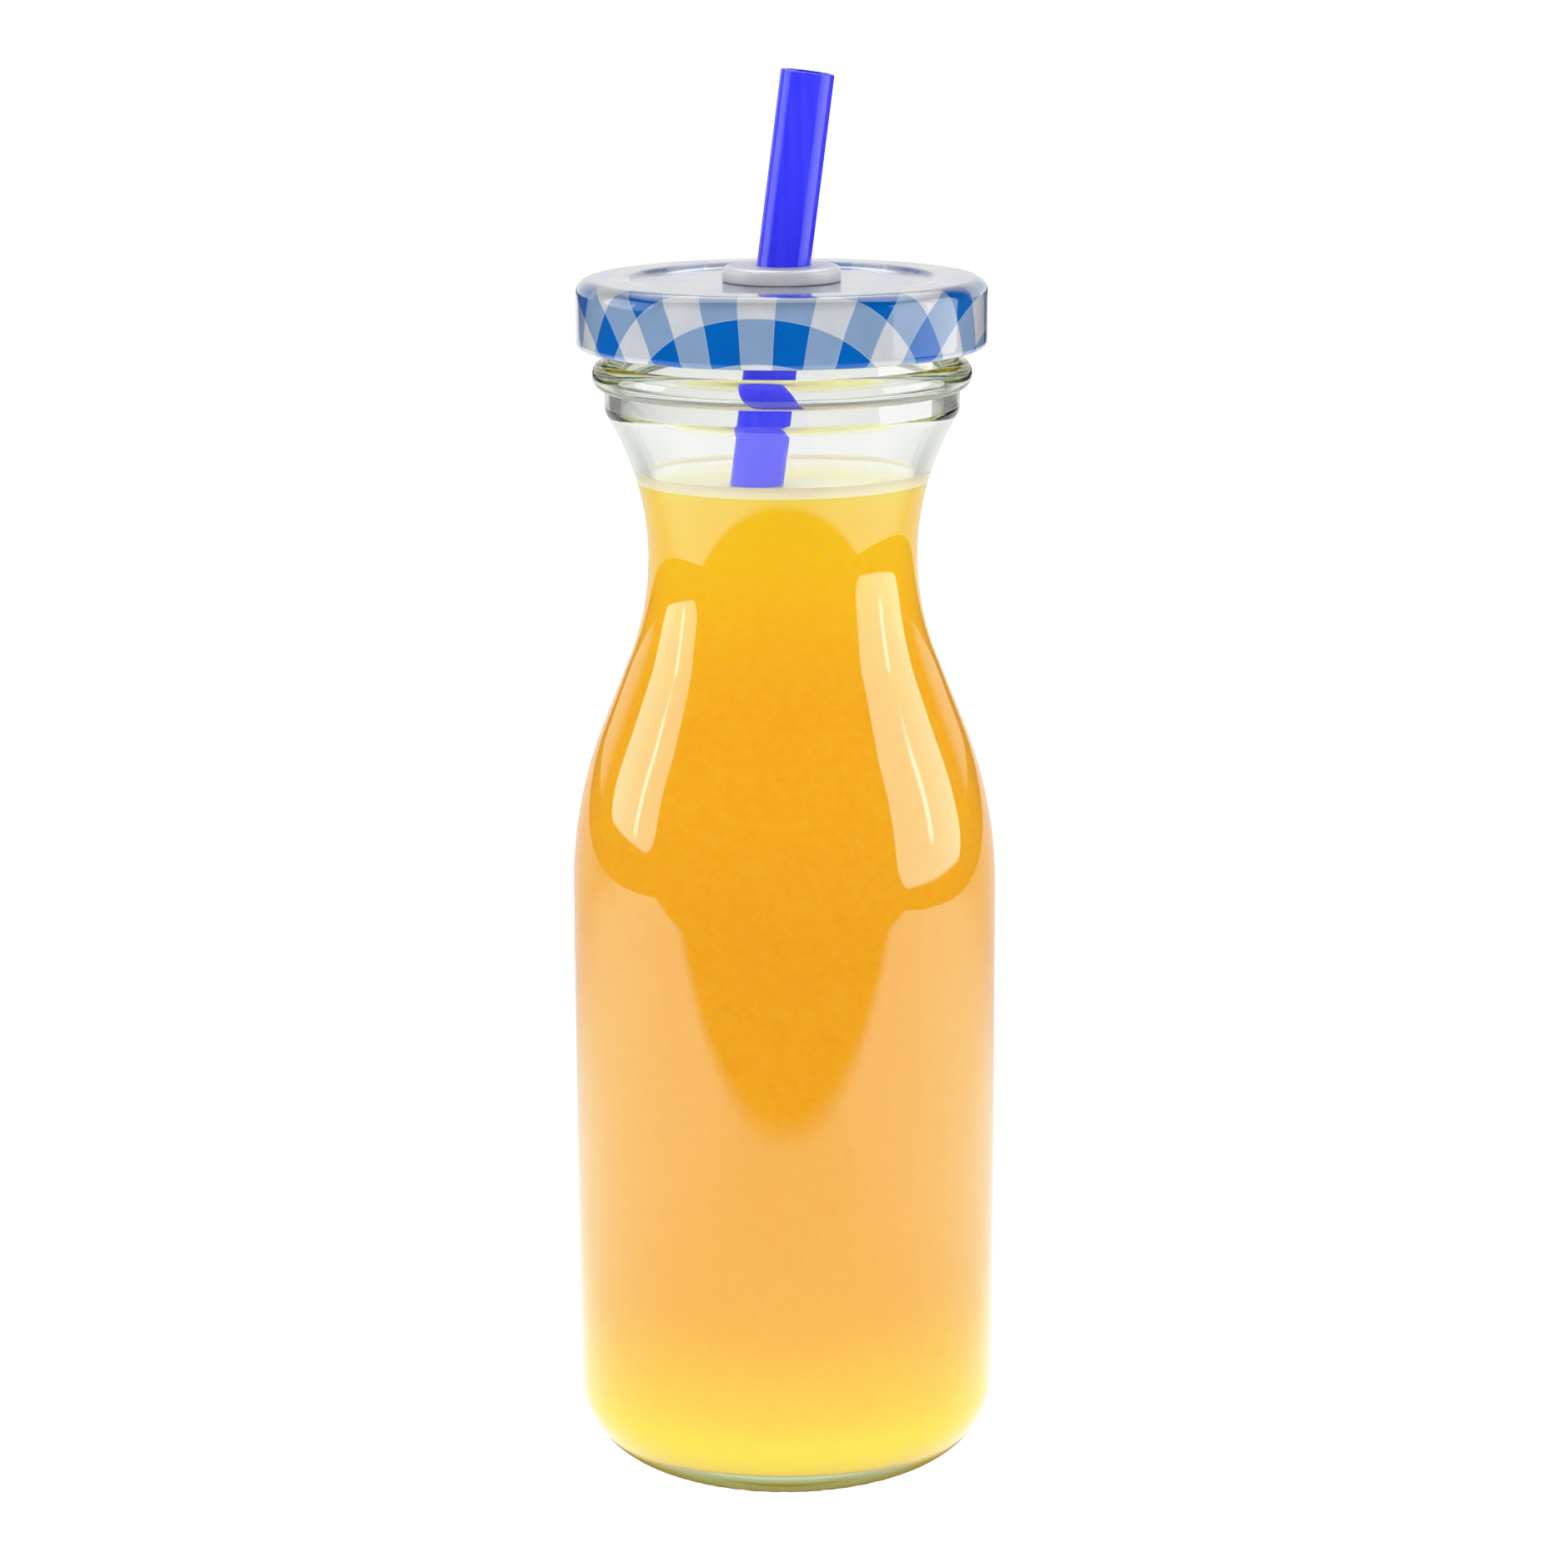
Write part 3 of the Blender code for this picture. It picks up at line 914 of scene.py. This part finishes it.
def make_grommet_material():
    material, tree, shader = new_material("pale soft rubber")
    chalky = uneven(tree, CHALK_SIZE, 0.0, 1.0)
    tree.links.new(mix_colour(tree, chalky, GROMMET_WHITE, GROMMET_DUSTY), shader.inputs["Base Color"])
    tree.links.new(uneven(tree, CHALK_SIZE, *CHALK_GLOSS), shader.inputs["Roughness"])
    add_relief(tree, shader, uneven(tree, CHALK_SIZE, 0.0, CHALK_DEPTH))
    set_values(shader, Subsurface_Weight=1.0, Subsurface_Scale=0.002)
    shader.inputs["Subsurface Radius"].default_value = (1.0, 1.0, 1.0)
    return material


dress(grommet, make_grommet_material())

# %% [markdown]
# The print copies that cloth, so it is made the same way, from one set of stripes along and one
# across. A picture of cloth would do, but it blurs close up. The clear lacquer shines where the eye
# meets it at a slant, which is what Layer Weight measures, and pales the print there.

# %% Colours and sizes of the print
STRIPE_WIDTH = 0.00522
STRIPE_START_X = 0.00260
STRIPE_START_Y = 0.03035
SEAM_WIDTH = 0.00015
PRINT_WHITE = (0.445, 0.46, 0.49, 1)
PRINT_MID = (0.172, 0.258, 0.40, 1)
PRINT_DEEP = (0.0, 0.090, 0.36, 1)
PRINT_SEAM = (0.37, 0.43, 0.53, 1)
SEAM_SHARE = 0.35
LACQUER_CREAM = (0.97, 0.95, 0.89, 1)
LACQUER_PALE = (0.97, 0.96, 0.92, 1)
INK_PATCH_SIZE = 0.004
INK_DARK = (0, 0, 0, 1)
INK_DARKER = 0.10
PEEL_SIZE = 0.0012
PEEL_DEPTH = 0.0000015
PRINT_GLOSS = (0.04, 0.08)
LACQUER_GLOSS = (0.22, 0.34)
SLANT_LOW = 0.45
SLANT_HIGH = 0.72

print("each stripe is %.2f mm wide" % (STRIPE_WIDTH * 1000))

# %% A group for printed stripes
def make_stripe_group():
    """Whether a point is on a coloured stripe, and whether it is on a stripe's edge."""
    kinds = {"Position": "Float", "Start": "Float", "Width": "Float", "Seam": "Float"}
    group, taken, given = new_group("printed stripe", kinds, ["Coloured", "Edge"])
    shifted = math_node(group, "SUBTRACT", taken["Position"], taken["Start"])
    counted = math_node(group, "DIVIDE", shifted, taken["Width"])
    share = math_node(group, "FRACT", math_node(group, "DIVIDE", counted, 2.0))
    group.links.new(math_node(group, "LESS_THAN", share, 0.5), given["Coloured"])
    from_middle = math_node(group, "SUBTRACT", math_node(group, "FRACT", counted), 0.5)
    from_middle = math_node(group, "ABSOLUTE", from_middle)
    half_seam = math_node(group, "DIVIDE", math_node(group, "DIVIDE", taken["Seam"], 2.0), taken["Width"])
    limit = math_node(group, "SUBTRACT", 0.5, half_seam)
    group.links.new(math_node(group, "GREATER_THAN", from_middle, limit), given["Edge"])
    return group


printed_stripe = make_stripe_group()
print("groups:", [group.name for group in bpy.data.node_groups])

# %% Lid print
def printed_gingham(tree):
    """The colour of the print: white, one stripe, or two stripes that cross."""
    blank = tree.nodes.new("ShaderNodeUVMap")
    blank.uv_map = BLANK_MAP
    place = split_vector(tree, blank.outputs["UV"])
    sizes = {"Width": STRIPE_WIDTH, "Seam": SEAM_WIDTH}
    along = place_group(tree, printed_stripe, Position=place["X"], Start=STRIPE_START_X, **sizes)
    across = place_group(tree, printed_stripe, Position=place["Y"], Start=STRIPE_START_Y, **sizes)
    either = math_node(tree, "MAXIMUM", along["Coloured"], across["Coloured"])
    both = math_node(tree, "MULTIPLY", along["Coloured"], across["Coloured"])
    edge = math_node(tree, "MAXIMUM", along["Edge"], across["Edge"])
    check = mix_colour(tree, both, mix_colour(tree, either, PRINT_WHITE, PRINT_MID), PRINT_DEEP)
    seamed = mix_colour(tree, math_node(tree, "MULTIPLY", edge, SEAM_SHARE), check, PRINT_SEAM)
    return mix_colour(tree, uneven(tree, INK_PATCH_SIZE, 0.0, INK_DARKER), seamed, INK_DARK)


def make_lid_material():
    material, tree, shader = new_material("gingham printed tinplate")
    tree.links.new(printed_gingham(tree), shader.inputs["Base Color"])
    tree.links.new(uneven(tree, PEEL_SIZE, *PRINT_GLOSS), shader.inputs["Roughness"])
    add_relief(tree, shader, uneven(tree, PEEL_SIZE, 0.0, PEEL_DEPTH))
    facing = tree.nodes.new("ShaderNodeLayerWeight").outputs["Facing"]
    tree.links.new(ramp(tree, facing, SLANT_LOW, SLANT_HIGH), shader.inputs["Coat Weight"])
    set_values(shader, IOR=1.5, Specular_IOR_Level=0.22, Coat_Roughness=0.12, Coat_IOR=1.6)
    return material


def make_lacquer_material():
    material, tree, shader = new_material("inner lacquer")
    tree.links.new(uneven(tree, PEEL_SIZE, *LACQUER_GLOSS), shader.inputs["Roughness"])
    cream = mix_colour(tree, uneven(tree, INK_PATCH_SIZE, 0.0, 1.0), LACQUER_CREAM, LACQUER_PALE)
    tree.links.new(cream, shader.inputs["Base Color"])
    return material


dress(lid, make_lid_material(), make_lacquer_material())

# %% [markdown]
# The light. A glossy bottle is a curved mirror, so its picture is mostly a picture of the room, and
# the room can be read back from the reflections: a white table that ends in a straight edge a hand's
# length in front of the bottle, darkness beyond it, a white wall behind, and a tall soft panel with a
# thin tube on each side. A photographer lights drink, glass and print apart, with cards and cloths.
# Here the kind of ray does that: the studio has one brightness where it is mirrored, one where it is
# seen through glass, one for light that falls on plain surfaces, and one for light that reaches the
# drink through the wall. In the head space, past four faces of glass, that light is raised a little.

# %% Light by the kind of ray
# A ray counts its bounces in whole numbers, so these two ask for at least one and at least four
ANY = 0.5
FOUR_FACES = 3.5
INSIDE_BOTTLE = 1.35
SEEN_WHITE = 1.38
SEEN_BEHIND = 0.95
SEEN_IN_FRONT = 0.35
SEEN_ASIDE = 0.30
MIRRORED_ROOM = 0.07


def choose(tree, test, when_true, when_false):
    """A number picked by a test between 0 and 1."""
    node = tree.nodes.new("ShaderNodeMix")
    for socket, value in (("Factor", test), ("A", when_false), ("B", when_true)):
        feed(tree, node.inputs[socket], value)
    return node.outputs["Result"]


def is_gathered(tree, path):
    """1 for the light that falls on a surface, 0 for what is seen or mirrored."""
    return math_node(tree, "GREATER_THAN", path["Diffuse Depth"], ANY)


def brightness_by_ray(tree, path, mirrored, seen, on_outside, through):
    """How bright the studio is for each kind of ray that reaches it by way of the object."""
    through_glass = math_node(tree, "GREATER_THAN", path["Transmission Depth"], ANY)
    inside_bottle = math_node(tree, "GREATER_THAN", path["Transmission Depth"], FOUR_FACES)
    through = math_node(tree, "MULTIPLY", through, choose(tree, inside_bottle, INSIDE_BOTTLE, 1.0))
    falling = choose(tree, through_glass, through, on_outside)
    return choose(tree, is_gathered(tree, path), falling, choose(tree, through_glass, seen, mirrored))


print("the camera sees the studio itself at", SEEN_WHITE)

# %% [markdown]
# The table is one flat sheet that glows; lit by lamps, its white would change with each of them. Past
# its front edge nothing bright is mirrored, which gives the deep orange tongue down the middle of the
# bottle. Below the bottle it is shaded, softly for gathered light and sharply for what glass shows.

# %% Edges and glow of the table
TABLE_REACH = 6.0
TABLE_FRONT_Y = -0.200
TABLE_EDGE = 0.030
TABLE_LEFT_X = -0.600
TABLE_RIGHT_X = 0.435
FAR_Y = (-0.10, 0.25)
BESIDE_X = (0.05, 0.16)
SEEN_ASIDE_X = (0.10, 0.38)
THROUGH_ASIDE_X = (0.02, 0.08)
MIRRORED_TABLE_NEAR = 2.1
MIRRORED_TABLE_BESIDE = 2.9
MIRRORED_TABLE_FAR = 0.85
TABLE_ON_OUTSIDE = 1.75
TABLE_THROUGH_GLASS = 2.25
TABLE_SIDES_THROUGH_GLASS = 0.7
SOFT_SHADE_RADII = (0.012, 0.034)
SOFT_UNDER_BOTTLE = 0.35
SHARP_SHADE_RADII = (0.0258, 0.0290)
SHARP_UNDER_BOTTLE = 0.08

print("the table ends %.0f mm in front of the bottle's axis" % (-TABLE_FRONT_Y * 1000))

# %% How the table shows in mirrors, and its shade
def mirrored_table(tree, x, y, aside, behind_front):
    """The table's glow in a mirror: strongest beside the bottle, and dark past its edges."""
    right_of_left = math_node(tree, "GREATER_THAN", x, TABLE_LEFT_X)
    left_of_right = math_node(tree, "LESS_THAN", x, TABLE_RIGHT_X)
    on_table = math_node(tree, "MULTIPLY", right_of_left, left_of_right)
    on_table = math_node(tree, "MULTIPLY", behind_front, on_table)
    far = ramp(tree, y, *FAR_Y)
    glow = choose(tree, far, MIRRORED_TABLE_FAR, MIRRORED_TABLE_NEAR)
    near = math_node(tree, "SUBTRACT", 1.0, far)
    beside = math_node(tree, "MULTIPLY", ramp(tree, aside, *BESIDE_X), near)
    return choose(tree, on_table, choose(tree, beside, MIRRORED_TABLE_BESIDE, glow), MIRRORED_ROOM)


def vector_node(tree, operation, *values):
    node = tree.nodes.new("ShaderNodeVectorMath")
    node.operation = operation
    for socket, value in zip(node.inputs, values):
        feed(tree, socket, value)
    return node.outputs


def shade_below_bottle(tree, position, path):
    radius = vector_node(tree, "LENGTH", position)["Value"]
    soft = choose(tree, ramp(tree, radius, *SOFT_SHADE_RADII), 1.0, SOFT_UNDER_BOTTLE)
    sharp = choose(tree, ramp(tree, radius, *SHARP_SHADE_RADII), 1.0, SHARP_UNDER_BOTTLE)
    return choose(tree, is_gathered(tree, path), soft, sharp)


print("its soft shade reaches %.0f mm from the axis" % (SOFT_SHADE_RADII[1] * 1000))

# %% The table
def make_table_material():
    material = bpy.data.materials.new("table white")
    material.use_nodes = True
    material.cycles.emission_sampling = "NONE"
    tree = material.node_tree
    tree.nodes.clear()
    path = tree.nodes.new("ShaderNodeLightPath").outputs
    position = tree.nodes.new("ShaderNodeNewGeometry").outputs["Position"]
    x, y = split_vector(tree, position)[:2]
    aside = math_node(tree, "ABSOLUTE", x)
    behind_front = ramp(tree, y, TABLE_FRONT_Y - TABLE_EDGE / 2, TABLE_FRONT_Y + TABLE_EDGE / 2)
    mirrored = mirrored_table(tree, x, y, aside, behind_front)
    seen = choose(tree, ramp(tree, aside, *SEEN_ASIDE_X), SEEN_ASIDE, SEEN_BEHIND)
    seen = choose(tree, behind_front, seen, SEEN_IN_FRONT)
    well_aside = ramp(tree, aside, *THROUGH_ASIDE_X)
    through = choose(tree, well_aside, TABLE_SIDES_THROUGH_GLASS, TABLE_THROUGH_GLASS)
    value = brightness_by_ray(tree, path, mirrored, seen, TABLE_ON_OUTSIDE, through)
    value = math_node(tree, "MULTIPLY", value, shade_below_bottle(tree, position, path))
    emission = tree.nodes.new("ShaderNodeEmission")
    tree.links.new(choose(tree, path["Is Camera Ray"], SEEN_WHITE, value), emission.inputs["Strength"])
    output = tree.nodes.new("ShaderNodeOutputMaterial")
    tree.links.new(emission.outputs["Emission"], output.inputs["Surface"])
    return material


def make_table():
    corners = [(-1, -1), (1, -1), (1, 1), (-1, 1)]
    mesh = bpy.data.meshes.new("studio_table")
    mesh.from_pydata([(x * TABLE_REACH, y * TABLE_REACH, 0) for x, y in corners], [], [(0, 1, 2, 3)])
    mesh.materials.append(make_table_material())
    table = add_piece("studio_table", mesh)
    return table


report_piece(make_table())

# %% [markdown]
# The room is the world's background, told apart by direction: a bright wall behind, a patch overhead
# that only shows in mirrors, and light from the sides and from above that makes the drink glow. A
# built room with walls and lamps would do the same, but slower and with more noise.

# %% The room
# For each kind of light: its brightness in front, and then, in turn, the direction toward which it
# changes, how far that way the change starts and ends (1 is straight there), and what it becomes
ROOM = {
    "mirrored": (MIRRORED_ROOM, [("back", 0.55, 0.72, 0.88)]),
    "seen": (SEEN_IN_FRONT, [("back", -0.35, 0.35, SEEN_ASIDE), ("back", 0.60, 0.90, SEEN_BEHIND)]),
    "on_outside": (1.75, [("back", -0.5, 0.8, 2.6), ("up", 0.20, 0.60, 0.35)]),
    "through": (2.0, [("aside", 0.3, 0.8, 6.9), ("back", -0.3, 0.5, 3.0), ("up", 0.25, 0.65, 2.6)]),
}
OVERHEAD_UP = (0.55, 0.80)
OVERHEAD_BACK = (-0.17, -0.14)
MIRRORED_OVERHEAD = 8.0


def room_light(tree, shares, kind):
    brightness, changes = ROOM[kind]
    for direction, start, end, changed in changes:
        brightness = choose(tree, ramp(tree, shares[direction], start, end), changed, brightness)
    return brightness


def make_world():
    world = bpy.data.worlds.new("studio")
    world.use_nodes = True
    world.cycles.sampling_method = "NONE"
    bpy.context.scene.world = world
    tree = world.node_tree
    background = tree.nodes["Background"]
    background.inputs["Color"].default_value = (1, 1, 1, 1)
    x, back, up = split_vector(tree, tree.nodes.new("ShaderNodeTexCoord").outputs["Generated"])
    shares = {"aside": math_node(tree, "ABSOLUTE", x), "back": back, "up": up}
    light = {kind: room_light(tree, shares, kind) for kind in ROOM}
    overhead = ramp(tree, up, *OVERHEAD_UP)
    overhead = math_node(tree, "MULTIPLY", overhead, ramp(tree, back, *OVERHEAD_BACK))
    light["mirrored"] = choose(tree, overhead, MIRRORED_OVERHEAD, light["mirrored"])
    path = tree.nodes.new("ShaderNodeLightPath").outputs
    value = brightness_by_ray(tree, path, **light)
    tree.links.new(choose(tree, path["Is Camera Ray"], SEEN_WHITE, value), background.inputs["Strength"])
    return world


print("the room is the world", make_world().name)

# %% [markdown]
# The panels and tubes are area lights. A plain one is a hard rectangle, and a softbox has rounded
# corners and fades at its rim, so each light's shader dims it toward a rounded edge, by the place on
# the light. A softness of 1 fades a tube from its middle line. They only show where they are
# mirrored: the drink's own light comes from the room.

# %% Rows of panels and tubes, and their soft edge
# Each row: the two ends on the table, the bottom and top, radiance, corner radius and softness
PANELS = {
    "left_panel": ((-0.905, -0.245), (-0.86, 0.40), 0.092, 0.62, 4.6, 0.10, 0.12),
    "right_panel": ((0.700, -0.370), (0.780, 0.330), 0.005, 0.52, 5.0, 0.10, 0.12),
    "left_tube": ((-0.86, -0.040), (-0.86, 0.024), 0.110, 0.42, 8.0, 0.032, 1.0),
    "right_tube": ((0.70, -0.064), (0.70, 0.001), 0.090, 0.36, 8.0, 0.032, 1.0),
}


def soft_edge(tree, middle, along, half_width, half_height, corner, softness):
    """1 on a panel's face, falling to 0 at its rounded edge."""
    position = tree.nodes.new("ShaderNodeNewGeometry").outputs["Position"]
    from_middle = vector_node(tree, "SUBTRACT", position, middle)["Vector"]
    sideways = vector_node(tree, "DOT_PRODUCT", from_middle, along)["Value"]
    upward = split_vector(tree, from_middle)["Z"]
    past = []
    for reach, half in ((sideways, half_width), (upward, half_height)):
        over = math_node(tree, "SUBTRACT", math_node(tree, "ABSOLUTE", reach), half - corner)
        over = math_node(tree, "MAXIMUM", over, 0.0)
        past.append(math_node(tree, "MULTIPLY", over, over))
    distance = math_node(tree, "SQRT", math_node(tree, "ADD", past[0], past[1]))
    return math_node(tree, "SUBTRACT", 1.0, ramp(tree, distance, corner * (1 - softness), corner))


print("lights to make:", list(PANELS))

# %% Panels and tubes
def make_panel(name, near, far, bottom, top, radiance, corner, softness):
    """A soft light that stands between two points on the table and faces the bottle."""
    near = mathutils.Vector((*near, (bottom + top) / 2))
    far = mathutils.Vector((*far, (bottom + top) / 2))
    middle = (near + far) / 2
    along = (far - near).normalized()
    data = bpy.data.lights.new(name, "AREA")
    data.shape = "RECTANGLE"
    data.size = (far - near).length
    data.size_y = top - bottom
    data.energy = radiance * math.pi * data.size * data.size_y
    data.use_nodes = True
    tree = data.node_tree
    edge = soft_edge(tree, middle, along, data.size / 2, data.size_y / 2, corner, softness)
    path = tree.nodes.new("ShaderNodeLightPath").outputs
    direct = math_node(tree, "SUBTRACT", 1.0, is_gathered(tree, path))
    tree.links.new(math_node(tree, "MULTIPLY", direct, edge), tree.nodes["Emission"].inputs["Strength"])
    panel = bpy.data.objects.new(name, data)
    bpy.context.scene.collection.objects.link(panel)
    facing = mathutils.Vector((along.y, -along.x, 0))
    if facing.dot(middle) > 0:
        facing = -facing
    upright = mathutils.Vector((0, 0, 1))
    across = upright.cross(-facing)
    basis = mathutils.Matrix((across, upright, -facing)).transposed().to_4x4()
    panel.matrix_world = mathutils.Matrix.Translation(middle) @ basis
    panel.visible_camera = False
    panel.visible_diffuse = False
    panel.visible_transmission = False
    return panel


for panel_name, row in PANELS.items():
    panel = make_panel(panel_name, *row)
    print(panel.name, "%.0f by %.0f mm" % (panel.data.size * 1000, panel.data.size_y * 1000))
